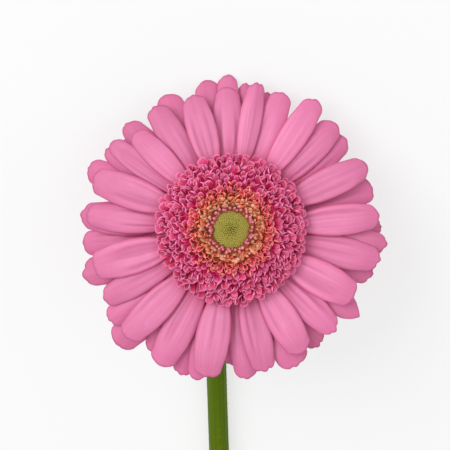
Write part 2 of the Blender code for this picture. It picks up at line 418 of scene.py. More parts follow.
def stem_finish(colours, length):
    """Stem skin, a little lighter at the neck, and drying pale in the last few mm before the cut."""
    material, nodes, surface, colour, _, along = green_finish(
        "stem_skin", colours.stem_deep, colours.stem, colours.stem_light, 22.0
    )
    neck = 1 - nodes.ease(along, 0.0, 0.12)
    colour = nodes.mix(neck * 0.5, colour, opaque(colours.stem_light))
    dry = nodes.ease(along, 1 - 4 * MM / length, 1.0)
    colour = nodes.mix(dry * 0.5, colour, opaque(colours.cut_face))
    nodes.feed(surface.inputs["Base Color"], colour)
    return material


def cut_finish(colours, centre, radius):
    """The cut face: green skin, a paler ring of bundles and a white pith."""
    material, nodes, surface = finish_of("stem_cut_face", 0.38, Coat_Weight=0.15)
    place = nodes.add("ShaderNodeTexCoord", output="Object")
    shift = nodes.add("ShaderNodeMapping", {"Vector": place, "Location": tuple(-c for c in centre)})
    flat = nodes.add("ShaderNodeVectorMath", {0: shift, 1: (1.0, 0.0, 1.0)}, operation="MULTIPLY")
    size = nodes.add("ShaderNodeVectorMath", {0: flat}, output="Value", operation="LENGTH")
    reach = size / radius
    cells = nodes.add("ShaderNodeTexVoronoi", {"Vector": place, "Scale": 1900.0})
    colour = nodes.ramp(
        reach,
        (0.0, colours.pith),
        (0.55, colours.pith),
        (0.74, colours.cut_face),
        (0.88, colours.stem_light),
        (1.0, colours.stem_deep),
    )
    colour = nodes.mix(nodes.ease(cells, 0.1, 0.5) * 0.3, colour, opaque(colours.stem_light))
    nodes.feed(surface.inputs["Base Color"], colour)
    relief(nodes, surface, cells, 0.12 * MM)
    return material


def hair_finish(colours):
    material, nodes, surface = finish_of("fine_hair", 0.45)
    _, along = on_strap(nodes)
    colour = nodes.ramp(along, (0.0, colours.stem_light), (1.0, colours.hair))
    nodes.feed(surface.inputs["Base Color"], colour)
    return material


def cup_finish(colours):
    """The cup: green below the rays, the colour of their roots beside them."""
    material, nodes, surface = finish_of("receptacle_skin", 0.6)
    _, along = on_strap(nodes)
    place = nodes.add("ShaderNodeTexCoord", output="Object")
    mottle = nodes.noise(place, 420.0, 4.0, 0.6)
    colour = nodes.mix(nodes.ease(mottle, 0.35, 0.7), opaque(colours.bract_deep), opaque(colours.bract))
    crowd = nodes.mix(nodes.ease(mottle, 0.3, 0.7), opaque(colours.ray_root), opaque(colours.ray_edge_and_crease_shade))
    colour = nodes.mix(nodes.ease(along, 0.55, 0.62), colour, crowd)
    nodes.feed(surface.inputs["Base Color"], colour)
    relief(nodes, surface, mottle, 0.2 * MM)
    return material


# ------------------------------------------------------------------------ building by hand


def hand_over(piece, slot, *solids):
    """Gives a finished piece to the frame: hangs it under the root body and hides the solids it stands for.
    The slot is not used.
    """
    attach(piece, "root")
    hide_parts(*solids)
    return piece


def mesh_piece(name, places, faces, material, place=None):
    """A new smooth piece from points in the frame that place turns into the model's."""
    mesh = bpy.data.meshes.new(name)
    mesh.from_pydata([tuple(point) for point in places], [], faces)
    mesh.transform(place or Matrix.Identity(4))
    mesh.materials.append(material)
    mesh.shade_smooth()
    piece = bpy.data.objects.new(name, mesh)
    bpy.context.scene.collection.objects.link(piece)
    return piece


def strap_faces(rows, columns):
    """Faces of a closed strap: its upper grid, its lower grid, and the edge between them."""
    lower = rows * columns

    def at(row, column, side):
        return side * lower + row * columns + column

    faces = []
    for row in range(rows - 1):
        for column in range(columns - 1):
            ring = [(row, column), (row + 1, column), (row + 1, column + 1), (row, column + 1)]
            faces.append([at(r, c, 0) for r, c in ring])
            faces.append([at(r, c, 1) for r, c in reversed(ring)])
    edge = [(0, c) for c in range(columns)]
    edge += [(r, columns - 1) for r in range(1, rows)]
    edge += [(rows - 1, c) for c in range(columns - 2, -1, -1)]
    edge += [(r, 0) for r in range(rows - 2, 0, -1)]
    for (r1, c1), (r2, c2) in zip(edge, edge[1:] + edge[:1]):
        faces.append([at(r1, c1, 0), at(r2, c2, 0), at(r2, c2, 1), at(r1, c1, 1)])
    return faces


def map_strap(mesh, across, along):
    """Writes a strap's UV map, from one value across and one along for each of its points."""
    layer = mesh.uv_layers.new(name="UVMap")
    corner = np.empty(len(mesh.loops), int)
    mesh.loops.foreach_get("vertex_index", corner)
    pairs = np.stack([(across[corner] + 1) / 2, along[corner]], 1)
    layer.data.foreach_set("uv", pairs.ravel())


def note(mesh, name, values):
    """Writes one number for each point of a mesh."""
    layer = mesh.attributes.new(name, "FLOAT", "POINT")
    layer.data.foreach_set("value", np.asarray(values, np.float32))


def smooth_between(value, start, end):
    share = np.clip((value - start) / (end - start), 0, 1)
    return share * share * (3 - 2 * share)


def smoothed(values, times):
    """Rows of numbers, each drawn towards its neighbours; the two ends stay."""
    values = values.copy()
    for _ in range(times):
        values[1:-1] = (values[:-2] + 2 * values[1:-1] + values[2:]) / 4
    return values


def dent(value, place, width):
    return np.exp(-(((value - place) / width) ** 2))


# Rays that differ from a plain one: fold (mm, up along the midrib, or down if negative),
# the depth (mm) of the notches in the tip, and how pointed the tip is, from 0 to 1
FOLDS = {
    "ray_floret_02": 1.2,
    "ray_floret_08": -1.0,
    "ray_floret_17": -0.5,
    "ray_floret_21": -0.9,
    "ray_floret_40": -1.3,
    "ray_floret_43": 0.5,
}
NOTCHES = {
    "ray_floret_02": 0.8,
    "ray_floret_12": 0.5,
    "ray_floret_14": 0.7,
    "ray_floret_17": 0.7,
    "ray_floret_18": 0.8,
    "ray_floret_20": 0.6,
    "ray_floret_21": 0.9,
    "ray_floret_32": 1.0,
    "ray_floret_36": 0.6,
    "ray_floret_44": 0.5,
}
POINTS = {
    "ray_floret_12": 0.35,
    "ray_floret_15": 0.0,
    "ray_floret_16": 0.7,
    "ray_floret_17": 0.3,
    "ray_floret_27": 0.0,
    "ray_floret_33": 0.0,
}


def ray_points(profile, sizes, fold, notch, point, chance):
    """Points of a ray floret's two sides, with its root on the left and its tip along +X."""
    reach, centre, core, half, roll = profile
    rows, columns = sizes.ray_rows, sizes.ray_columns
    along, across = np.meshgrid(
        1 - (1 - np.linspace(0, 1, rows)) ** 1.25, np.linspace(-1, 1, columns), indexing="ij"
    )
    across = np.sign(across) * (1 - (1 - abs(across)) ** 1.15)
    length = reach[-1] - reach[0]
    station = (reach - reach[0]) / length
    widest = half.max()
    shape = np.interp(along, station[:-1], half[:-1] / widest)
    shape = np.where(along > station[-3], 1 - 0.19 * smooth_between(along, 0.72, 1.03), shape)
    shoulder = smooth_between(along, 0.05, 0.25) * (1 - smooth_between(along, 0.45, 0.8))
    shape = smoothed(shape * (1 + sizes.ray_shoulder * shoulder), 3)
    width = shape * widest * sizes.ray_fullness
    bend = np.polyfit(station, core, 4)
    sway = np.polyfit(station, centre, 3)
    lean = np.polyfit(station, roll, 2)
    depth = chance.uniform(0.085, 0.115) * length * (1 + 0.5 * point)
    skew = chance.uniform(-0.14, 0.14)
    off = np.clip(across - skew * (1 - across**2), -1, 1)
    cap = 1 - np.sqrt(1 - 0.93 * off**2)
    cap = depth * (cap + (abs(off) ** 1.2 - cap) * point)
    spots = (-0.36 + chance.uniform(-0.14, 0.14), 0.33 + chance.uniform(-0.14, 0.14))
    teeth = sum(dent(across, spot, 0.14) * chance.uniform(0.4, 1.0) for spot in spots) * notch * MM
    wave = chance.uniform(0, 2 * math.pi)
    teeth = teeth + sizes.ray_ripple * (1 + np.sin(5.5 * across + wave)) * (1 + np.sin(9 * across - wave))
    x = reach[0] + along * length - cap * along**4 - teeth * smooth_between(along, 0.86, 1)
    y = np.polyval(sway, along) + across * width
    arch = sizes.ray_arch * chance.uniform(0.8, 1.2)
    z = np.polyval(bend, along) + np.polyval(lean, along) * across * width
    grown = smooth_between(along, 0.1, 0.5)
    z = z - arch * abs(across) ** 2.3 * width * grown
    ribs = [chance.uniform(-0.16, 0.16) + spot for spot in (-0.5, 0.0, 0.48)]
    groove = np.zeros_like(z)
    for rib in ribs:
        ending = chance.uniform(0.75, 1.0)
        deep = chance.choice((0.3, 0.5, 1.1, 2.1)) * grown
        deep = deep * (1 - smooth_between(along, ending - 0.3, ending))
        groove = groove + deep * dent(across, rib, chance.uniform(0.07, 0.16))
    z = z - sizes.ray_groove * groove
    phase = chance.uniform(0, 2 * math.pi)
    z = z + 0.16 * MM * np.sin(2 * math.pi * 1.3 * along + phase) * across * grown
    z = z + 0.14 * MM * np.sin(2 * math.pi * 2.2 * along + 2 * phase) * abs(across) ** 3 * grown
    z = z - chance.uniform(0.1, 0.7) * MM * smooth_between(along, 0.86, 1.0)
    z = z + fold * MM * (0.5 - abs(across)) * grown * (1 - 0.5 * smooth_between(along, 0.8, 1))
    thick = sizes.ray_thickness * (1 - 0.6 * abs(across) ** 3)
    thick = thick * (1 - 0.45 * smooth_between(along, 0.85, 1))
    upper = np.stack([x, y, z + thick / 2], -1).reshape(-1, 3)
    lower = np.stack([x, y, z - thick / 2], -1).reshape(-1, 3)
    return np.concatenate([upper, lower]), across.ravel(), along.ravel(), groove.ravel()


def build_rays(sizes, material):
    """A petal on each ray floret's solid, with its folds, grooves and tip."""
    chance = random.Random(sizes.seed)
    faces = strap_faces(sizes.ray_rows, sizes.ray_columns)
    nodes = sorted(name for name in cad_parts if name.startswith("ray_floret"))
    profiles = {node: ray_profile(node) for node in nodes}
    levels = {node: profile[2].mean() for node, (_, profile) in profiles.items()}
    top, bottom = max(levels.values()), min(levels.values())
    for node, (bearing, profile) in profiles.items():
        notch = NOTCHES.get(node, chance.choice((0, 0, 0.3, 0.5)))
        fold = FOLDS.get(node, chance.choice((-0.5, 0, 0, 0.35)))
        point = POINTS.get(node, chance.choice((0, 0.1, 0.24)))
        points, across, along, groove = ray_points(profile, sizes, fold, notch, point, chance)
        place = np.array(HEAD @ Matrix.Rotation(math.pi / 2 - bearing, 4, "Z"))
        points = points @ place[:3, :3].T + place[:3, 3]
        lowest = points[:, 2].reshape(2, -1).min(0)
        points[:, 2] += np.tile(np.clip(TABLE_GAP - lowest, 0, None), 2)
        piece = mesh_piece(node.replace("ray_floret", "ray"), points, faces, material)
        map_strap(piece.data, np.tile(across, 2), np.tile(along, 2))
        note(piece.data, "underside", np.repeat((0.0, 1.0), len(across)))
        note(piece.data, "tone", np.full(2 * len(across), chance.random()))
        # The groove depth drives the painted shade in the grooves.
        note(piece.data, "groove", np.tile(groove.clip(0, 1), 2))
        # How far a ray lies below the top rays; it drives the painted shade on the lower rays.
        note(piece.data, "depth", np.full(2 * len(across), (top - levels[node]) / (top - bottom)))
        hand_over(piece, "ray", node)


# --------------------------------------------------------------- what grows in great numbers


def strap_template(name, size, cup, curl, hood, seen=4 * MM, columns=7):
    """A small strap with a round tip at the origin and its root towards -X.

    The size is its length, width and thickness. The cup lifts its edges, the curl drops its root
    and the hood lifts its tip. Only the stretch next to the tip is seen, and its map runs over that.
    """
    length, width, thick = size
    back = np.array([length, 0.4 * length, 0.48 * seen, 0.18 * seen, 0.0])
    back, across = np.meshgrid(back, np.linspace(-1, 1, columns), indexing="ij")
    along = 1 - back / length
    near = 1 - (back / seen).clip(0, 1)
    half = width / 2 * (0.5 + 0.5 * smooth_between(near, 0.0, 0.6))
    tip = width * 0.42 * (1 - np.sqrt(1 - 0.92 * across**2)) * smooth_between(near, 0.2, 1.0)
    x = -back - tip
    z = cup * across**2 * smooth_between(near, 0.0, 0.75)
    z = z - curl * (1 - along) ** 2 + hood * smooth_between(near, 0.5, 1.0)
    sides = [np.stack([x, across * half, z + s * thick / 2], -1).reshape(-1, 3) for s in (1, -1)]
    mesh = bpy.data.meshes.new(name)
    mesh.from_pydata(np.concatenate(sides).tolist(), [], strap_faces(*back.shape))
    map_strap(mesh, np.tile(across.ravel(), 2), np.tile(near.ravel(), 2))
    mesh.shade_smooth()
    return bpy.data.objects.new(name, mesh)


def curl_template(name, length, width, turn, steps=7, sides=5):
    """A narrow curled lobe: it rises at the origin, bends over towards +X and tapers to its end."""
    places, shares = [], []
    x = z = 0.0
    for step in range(steps):
        share = step / (steps - 1)
        angle = turn * share
        half = width / 2 * (0.55 + 0.45 * math.sin(math.pi * min(1.0, share * 1.1 + 0.15)))
        for side in range(sides):
            around = 2 * math.pi * side / sides
            out, flat = 0.5 * half * math.sin(around), half * math.cos(around)
            places.append((x - out * math.cos(angle), flat, z + out * math.sin(angle)))
            shares.append(share)
        x += length / (steps - 1) * math.sin(angle)
        z += length / (steps - 1) * math.cos(angle)
    faces = []
    for step in range(steps - 1):
        for side in range(sides):
            a, b = step * sides + side, step * sides + (side + 1) % sides
            faces.append((a, b, b + sides, a + sides))
    faces += [tuple(reversed(range(sides))), tuple(range((steps - 1) * sides, steps * sides))]
    highest = max(place[2] for place in places)
    mesh = bpy.data.meshes.new(name)
    mesh.from_pydata([(px, py, pz - highest) for px, py, pz in places], [], faces)
    shape = bmesh.new()
    shape.from_mesh(mesh)
    bmesh.ops.recalc_face_normals(shape, faces=shape.faces)
    shape.to_mesh(mesh)
    shape.free()
    map_strap(mesh, np.zeros(len(places)), np.array(shares))
    mesh.shade_smooth()
    return bpy.data.objects.new(name, mesh)


def turned_template(name, profile, sides):
    """A small turned body on the Z axis, from (radius, height) points, bottom to top, both poles closed."""
    places, shares = [], []
    rings = profile[1:-1]
    for row, (radius, height) in enumerate(rings):
        for side in range(sides):
            angle = 2 * math.pi * side / sides
            places.append((radius * math.cos(angle), radius * math.sin(angle), height))
            shares.append((row + 1) / (len(profile) - 1))
    faces = []
    for row in range(len(rings) - 1):
        for side in range(sides):
            a, b = row * sides + side, row * sides + (side + 1) % sides
            faces.append((a, b, b + sides, a + sides))
    bottom, top = len(places), len(places) + 1
    places += [(0, 0, profile[0][1]), (0, 0, profile[-1][1])]
    shares += [0.0, 1.0]
    last = (len(rings) - 1) * sides
    for side in range(sides):
        after = (side + 1) % sides
        faces.append((bottom, after, side))
        faces.append((top, last + side, last + after))
    mesh = bpy.data.meshes.new(name)
    mesh.from_pydata(places, [], faces)
    map_strap(mesh, np.zeros(len(places)), np.array(shares))
    mesh.shade_smooth()
    return bpy.data.objects.new(name, mesh)


def new_tree(name, sockets):
    """An empty geometry tree with named inputs, given as {name: kind}, and its two ends."""
    tree = bpy.data.node_groups.new(name, "GeometryNodeTree")
    tree.is_modifier = True
    tree.interface.new_socket("Geometry", in_out="INPUT", socket_type="NodeSocketGeometry")
    tree.interface.new_socket("Geometry", in_out="OUTPUT", socket_type="NodeSocketGeometry")
    for socket, kind in sockets.items():
        tree.interface.new_socket(socket, in_out="INPUT", socket_type=f"NodeSocket{kind}")
    nodes = Nodes(tree)
    entry = tree.nodes.new("NodeGroupInput")
    given = {socket: Field(nodes, entry.outputs[socket]) for socket in ("Geometry", *sockets)}
    return tree, nodes, given


def close_tree(nodes, geometry, material):
    """Ends a tree: instances made real, the material set."""
    real = nodes.add("GeometryNodeRealizeInstances", {"Geometry": geometry})
    done = nodes.add("GeometryNodeSetMaterial", {"Geometry": real, "Material": material})
    nodes.tree.links.new(done.socket, nodes.tree.nodes.new("NodeGroupOutput").inputs[0])


def chance_node(nodes, low, high, seed, channel):
    """A random number for each point, from low to high; channels don't follow each other."""
    inputs = {2: low, 3: high, "Seed": seed + channel}
    return nodes.add("FunctionNodeRandomValue", inputs, 1, data_type="FLOAT")


def store_uv(nodes, geometry, name, value, domain="POINT"):
    inputs = {"Geometry": geometry, "Name": name, "Value": value}
    return nodes.add("GeometryNodeStoreNamedAttribute", inputs, data_type="FLOAT", domain=domain)


def spiral_tree():
    """Florets in the spiral order of a flower head, from an inner to an outer radius."""
    kinds = {"Floret": "Object", "Count": "Int", "First": "Int", "Seed": "Int", "Material": "Material"}
    spans = ("Radius", "Height", "Lean", "Size")
    for span in spans:
        kinds |= {f"Inner {span}": "Float", f"Outer {span}": "Float"}
    kinds |= {name: "Float" for name in ("Bulge", "Drift", "Twist", "Nod", "Size Spread", "Form Spread")}
    tree, nodes, given = new_tree("Spiral of florets", kinds)
    seed = given["Seed"]
    index = nodes.add("GeometryNodeInputIndex")
    share = (index + 0.5) / given["Count"]
    inner, outer = given["Inner Radius"], given["Outer Radius"]
    even = (inner * inner + (outer * outer - inner * inner) * share) ** 0.5
    radius = even + chance_node(nodes, -1.0, 1.0, seed, 1) * given["Drift"]
    span = (even - inner) / (outer - inner)
    turn = (index + given["First"]) * GOLDEN_TURN
    turn = turn + chance_node(nodes, -1.0, 1.0, seed, 2) * given["Drift"] / even
    height = nodes.blend(span, given["Inner Height"], given["Outer Height"])
    height = height + given["Bulge"] * span * (1 - span) * 4
    height = height + chance_node(nodes, -0.6, 0.6, seed, 3) * given["Drift"]
    x, y = radius * nodes.math("COSINE", turn), radius * nodes.math("SINE", turn)
    points = nodes.add(
        "GeometryNodePoints", {"Count": given["Count"], "Position": nodes.combine(x, y, height)}
    )
    lean = nodes.blend(span, given["Inner Lean"], given["Outer Lean"])
    lean = lean + chance_node(nodes, -1.0, 1.0, seed, 4) * given["Nod"]
    yaw = turn + chance_node(nodes, -1.0, 1.0, seed, 5) * given["Twist"]
    roll = chance_node(nodes, -1.0, 1.0, seed, 6) * given["Twist"]
    size = nodes.blend(span, given["Inner Size"], given["Outer Size"])
    size = size * (1 + chance_node(nodes, -1.0, 1.0, seed, 7) * given["Size Spread"])
    broad = size * (1 + chance_node(nodes, -1.0, 1.0, seed, 9) * given["Form Spread"])
    deep = size * (1 + chance_node(nodes, -1.0, 1.0, seed, 10) * given["Form Spread"] * 2)
    floret = nodes.add("GeometryNodeObjectInfo", {"Object": given["Floret"], "As Instance": True}, "Geometry")
    inputs = {
        "Points": points,
        "Instance": floret,
        "Rotation": nodes.combine(roll, 0 - lean, yaw),
        "Scale": nodes.combine(size, broad, deep),
    }
    crowd = nodes.add("GeometryNodeInstanceOnPoints", inputs)
    toned = store_uv(nodes, crowd, "tone", chance_node(nodes, 0.0, 1.0, seed, 8), "INSTANCE")
    placed = store_uv(nodes, toned, "span", span, "INSTANCE")
    close_tree(nodes, placed, given["Material"])
    return tree


def hair_tree():
    """Fine hairs that stand on a surface and lean a little along it."""
    kinds = {"Hair": "Object", "Density": "Float", "Seed": "Int", "Lean": "Float", "Floor": "Float"}
    kinds |= {"Shortest": "Float", "Longest": "Float", "Material": "Material"}
    tree, nodes, given = new_tree("Fine hairs", kinds)
    seed = given["Seed"]
    inputs = {"Mesh": given["Geometry"], "Density": given["Density"], "Seed": seed}
    spread = nodes.add("GeometryNodeDistributePointsOnFaces", inputs, "Points", distribute_method="RANDOM")
    normal = Field(nodes, spread.socket.node.outputs["Normal"])
    position = nodes.add("GeometryNodeInputPosition")
    height = Field(nodes, nodes.add("ShaderNodeSeparateXYZ", {0: position}).socket.node.outputs["Z"])
    low = nodes.add("FunctionNodeCompare", {0: height, 1: given["Floor"]}, operation="LESS_THAN")
    kept = nodes.add("GeometryNodeDeleteGeometry", {"Geometry": spread, "Selection": low}, domain="POINT")
    lean = nodes.combine(
        chance_node(nodes, -1.0, 1.0, seed, 1) * given["Lean"],
        chance_node(nodes, -1.0, 1.0, seed, 2) * given["Lean"],
        chance_node(nodes, -1.0, 1.0, seed, 3) * given["Lean"],
    )
    way = nodes.add("ShaderNodeVectorMath", {0: normal, 1: lean}, operation="ADD")
    turn = nodes.add("FunctionNodeAlignRotationToVector", {"Vector": way}, axis="Z")
    size = nodes.blend(chance_node(nodes, 0.0, 1.0, seed, 4), given["Shortest"], given["Longest"])
    hair = nodes.add("GeometryNodeObjectInfo", {"Object": given["Hair"], "As Instance": True}, "Geometry")
    inputs = {"Points": kept, "Instance": hair, "Rotation": turn, "Scale": nodes.combine(1.0, 1.0, size)}
    crowd = nodes.add("GeometryNodeInstanceOnPoints", inputs)
    close_tree(nodes, crowd, given["Material"])
    return tree


def grow(name, tree, values, base=None, place=None):
    """Runs a geometry tree with the given inputs and returns its result as a plain mesh piece."""
    host = bpy.data.objects.new(f"{name}_host", base or bpy.data.meshes.new(f"{name}_host"))
    bpy.context.scene.collection.objects.link(host)
    modifier = host.modifiers.new("growth", "NODES")
    modifier.node_group = tree
    for socket in tree.interface.items_tree:
        if socket.name in values:
            modifier[socket.identifier] = values[socket.name]
    bpy.context.view_layer.update()
    graph = bpy.context.evaluated_depsgraph_get()
    solid = bpy.data.meshes.new_from_object(host.evaluated_get(graph))
    host.modifiers.remove(modifier)
    bpy.data.objects.remove(host)
    if not solid.polygons:
        raise RuntimeError(f"{name} came out empty")
    solid.name = name
    solid.transform(place or Matrix.Identity(4))
    piece = bpy.data.objects.new(name, solid)
    bpy.context.scene.collection.objects.link(piece)
    return piece


def spiral_group(name, slot, solid, template, material, **inputs):
    """One group of florets grown in spiral order round the head's axis."""
    values = {key.replace("_", " ").title(): value for key, value in inputs.items()}
    values |= {"Floret": template, "Material": material}
    tree = bpy.data.node_groups.get("Spiral of florets") or spiral_tree()
    piece = grow(name, tree, values, place=HEAD)
    return hand_over(piece, slot, *solid)


def build_trans_florets(sizes, colours):
    """Short pink straps between the rays and the disc, in three bands that overlap like tiles."""
    outer, middle, inner = (rim_of(f"trans_florets_{band}") for band in ("outer", "middle", "inner"))
    disc = rim_of("disc_florets_outer")
    ends = [
        (colours.trans_hollow_shade, body, colours.trans_tip)
        for body in (colours.trans_body, colours.trans_outer)
    ]
    material = floret_finish("trans_floret_skin", *ends)
    # band, inner and outer edge, length and curl (mm), leans, sizes
    bands = (
        ("outer", middle, outer, 14.5, 2.0, (0.1, 0.03), (1.0, 1.1)),
        ("middle", inner, middle, 11.5, 2.2, (0.2, 0.12), (0.94, 1.02)),
        ("inner", disc, inner, 9.0, 2.4, (0.34, 0.22), (0.78, 0.92)),
    )
    for seed, (band, near, far, length, curl, leans, spans) in enumerate(bands):
        size = (length * MM, sizes.trans_width, 0.14 * MM)
        strap = strap_template(f"trans_{band}_template", size, 0.75 * MM, curl * MM, 0.55 * MM)
        area = math.pi * (far[0] ** 2 - near[0] ** 2)
        spiral_group(
            f"trans_{band}",
            "trans_floret",
            [f"trans_florets_{band}"],
            strap,
            material,
            count=round(area * sizes.trans_density),
            first=60 * seed,
            seed=sizes.seed + seed,
            inner_radius=near[0] + 0.8 * MM,
            outer_radius=far[0],
            inner_height=near[1],
            outer_height=far[1],
            inner_lean=leans[0],
            outer_lean=leans[1],
            inner_size=spans[0],
            outer_size=spans[1],
            drift=0.5 * MM,
            twist=0.5,
            nod=0.24,
            size_spread=0.16,
            form_spread=0.34,
        )
    profile = (
        (disc[0] - 4.5 * MM, disc[1] - 3.0 * MM),
        (disc[0] + 0.4 * MM, inner[1] - 0.3 * MM),
        (inner[0] - 1.0 * MM, middle[1] - 0.1 * MM),
        (middle[0] - 0.8 * MM, outer[1] - 0.6 * MM),
        (middle[0] - 1.2 * MM, outer[1] - 1.5 * MM),
        (disc[0] - 4.0 * MM, 1.4 * MM),
    )
    curl = curl_template("trans_curl_template", 4.2 * MM, 0.9 * MM, 2.5)
    spiral_group(
        "trans_lobes",
        "trans_floret",
        [],
        curl,
        lobe_finish("trans_lobe_skin", colours.trans_hollow_shade, colours.trans_outer, colours.trans_tip),
        count=sizes.trans_lobes,
        seed=sizes.seed + 20,
        inner_radius=disc[0] + 0.5 * MM,
        outer_radius=outer[0] - 2.6 * MM,
        inner_height=disc[1] + 0.4 * MM,
        outer_height=outer[1] + 1.4 * MM,
        inner_lean=-0.2,
        outer_lean=-0.35,
        inner_size=0.7,
        outer_size=0.95,
        bulge=0.5 * MM,
        drift=0.5 * MM,
        twist=1.1,
        nod=0.4,
        size_spread=0.2,
        form_spread=0.2,
    )
    # The bed's colours are painted shade: the dark magenta seen in the gaps between the short florets.
    tubes = bed_finish("trans_bed_skin", colours.trans_hollow_shade, colours.trans_bed)
    hand_over(ring_piece("trans_bed", profile, 60, tubes), "trans_floret")


def build_disc_florets(sizes, colours):
    """Small curled florets round the eye, over the bed of their crowded tubes."""
    rims = floret_finish(
        "disc_floret_skin",
        (colours.disc_hollow_shade, colours.disc_body, colours.disc_tip),
        (colours.trans_hollow_shade, colours.trans_body, colours.disc_rim),
    )
    plain = (colours.disc_root_and_shade, colours.disc_body, colours.disc_pale)
    palette = (
        colours.disc_gold,
        colours.disc_pale,
        colours.disc_brown,
        colours.disc_orange,
        colours.disc_tip,
        colours.disc_gold,
        colours.disc_body,
    )
    blobs = floret_finish("disc_lip_skin", plain, plain, palette)
    outer, inner, eye = rim_of("disc_florets_outer"), rim_of("disc_florets_inner"), rim_of("bud_disc")
    spoon = strap_template(
        "disc_outer_template", (5.5 * MM, 1.8 * MM, 0.16 * MM), 0.45 * MM, 2.4 * MM, 0.35 * MM, 3 * MM
    )
    lip = strap_template(
        "disc_inner_template", (3.4 * MM, 1.5 * MM, 0.4 * MM), -0.3 * MM, 1.2 * MM, -0.5 * MM, 2 * MM, 5
    )
    # band, inner and outer edge, template, skin, florets in a square metre, leans, how far the
    # innermost florets stand out from the inner edge and below the outer one (mm)
    bands = (
        ("outer", inner, outer, spoon, rims, sizes.disc_density, (0.5, 0.34), 0.9, 0.2),
        ("inner", eye, inner, lip, blobs, sizes.disc_density * 1.5, (1.05, 0.6), 2.2, 1.2),
    )
    for seed, (band, near, far, template, skin, density, leans, inset, drop) in enumerate(bands):
        area = math.pi * (far[0] ** 2 - near[0] ** 2)
        spiral_group(
            f"disc_{band}",
            "disc_floret",
            [f"disc_florets_{band}"],
            template,
            skin,
            count=round(area * density),
            first=40 * seed,
            seed=sizes.seed + 30 + seed,
            inner_radius=near[0] + inset * MM,
            outer_radius=far[0],
            inner_height=far[1] - drop * MM,
            outer_height=far[1],
            inner_lean=leans[0],
            outer_lean=leans[1],
            inner_size=0.85,
            outer_size=1.05,
            drift=0.3 * MM,
            twist=0.6,
            nod=0.3,
            size_spread=0.2,
            form_spread=0.25,
        )
    spiral_group(
        "disc_lobes",
        "disc_floret",
        [],
        curl_template("disc_curl_template", 3.2 * MM, 0.8 * MM, 2.6),
        lobe_finish("disc_lobe_skin", colours.disc_root_and_shade, colours.disc_body, colours.disc_tip),
        count=sizes.disc_lobes,
        seed=sizes.seed + 40,
        inner_radius=eye[0] + 2.6 * MM,
        outer_radius=outer[0],
        inner_height=inner[1] + 0.3 * MM,
        outer_height=outer[1] + 0.5 * MM,
        outer_lean=-0.2,
        inner_size=0.8,
        outer_size=1.0,
        bulge=0.3 * MM,
        drift=0.4 * MM,
        twist=1.4,
        nod=0.4,
        size_spread=0.2,
        form_spread=0.2,
    )
    low = in_head(corners("disc_florets_outer"))[:, 2].min()
    profile = (
        (eye[0] - 0.4 * MM, low),
        (eye[0] + 0.2 * MM, inner[1] - 3.0 * MM),
        (inner[0], inner[1] - 1.9 * MM),
        (outer[0] - 2.4 * MM, outer[1] - 1.8 * MM),
        (outer[0] - 3.4 * MM, low + 1.5 * MM),
        (outer[0] - 5.5 * MM, low),
    )
    # The bed's deep cells are painted shade in the gaps between the disc florets.
    tubes = bed_finish("disc_bed_skin", colours.disc_root_and_shade, colours.bed)
    hand_over(ring_piece("disc_bed", profile, 60, tubes), "disc_floret")


def ring_piece(name, profile, sides, material):
    """A closed ring turned about the head's axis from an outline of (radius, height) points."""
    rows = len(profile)
    places, faces = [], []
    for side in range(sides):
        angle = 2 * math.pi * side / sides
        places += [(r * math.cos(angle), r * math.sin(angle), h) for r, h in profile]
        after = (side + 1) % sides
        for row in range(rows):
            below = (row + 1) % rows
            faces.append((side * rows + row, side * rows + below, after * rows + below, after * rows + row))
    return mesh_piece(name, places, faces, material, HEAD)


def build_eye(sizes, colours):
    """The olive dome of unopened buds, with a pale mauve ring of larger ones round it."""
    slim = [(0, -1.6), (0.3, -1.5), (0.48, -0.26), (0.34, -0.06), (0, 0)]
    bud = turned_template("bud_template", [(r * MM, h * MM) for r, h in slim], 7)
    plump = [(0, -3.0), (0.34, -2.6), (0.52, -1.3), (0.36, -0.3), (0, 0)]
    large = turned_template("ring_bud_template", [(r * MM, h * MM) for r, h in plump], 8)
    green = bud_finish("bud_skin", colours.bud_foot_shade, colours.bud, colours.bud_light, 0.05)
    mauve = bud_finish("ring_bud_skin", colours.disc_root_and_shade, colours.mauve, colours.mauve_pale, 0.16)
    places = in_head(corners("bud_disc"))
    top, radius = places[:, 2].max(), np.hypot(places[:, 0], places[:, 1]).max()
    spiral_group(
        "bud_dome",
        "bud",
        ["bud_disc"],
        bud,
        green,
        count=sizes.bud_count,
        seed=sizes.seed + 50,
        inner_radius=0.1 * MM,
        outer_radius=radius + 0.25 * MM,
        inner_height=top - 0.9 * MM,
        outer_height=top - 0.9 * MM,
        bulge=0.8 * MM,
        inner_size=0.7,
        outer_size=1.16,
        inner_lean=0.0,
        outer_lean=-0.3,
        drift=0.06 * MM,
        nod=0.08,
        size_spread=0.08,
    )
    spiral_group(
        "bud_ring",
        "disc_floret",
        [],
        large,
        mauve,
        count=sizes.ring_buds,
        seed=sizes.seed + 60,
        inner_radius=radius + 0.75 * MM,
        outer_radius=radius + 1.9 * MM,
        inner_height=top + 0.2 * MM,
        outer_height=top + 1.5 * MM,
        inner_size=1.3,
        outer_size=1.65,
        inner_lean=-0.35,
        outer_lean=-0.1,
        drift=0.35 * MM,
        nod=0.45,
        twist=0.3,
        size_spread=0.2,
        form_spread=0.15,
    )


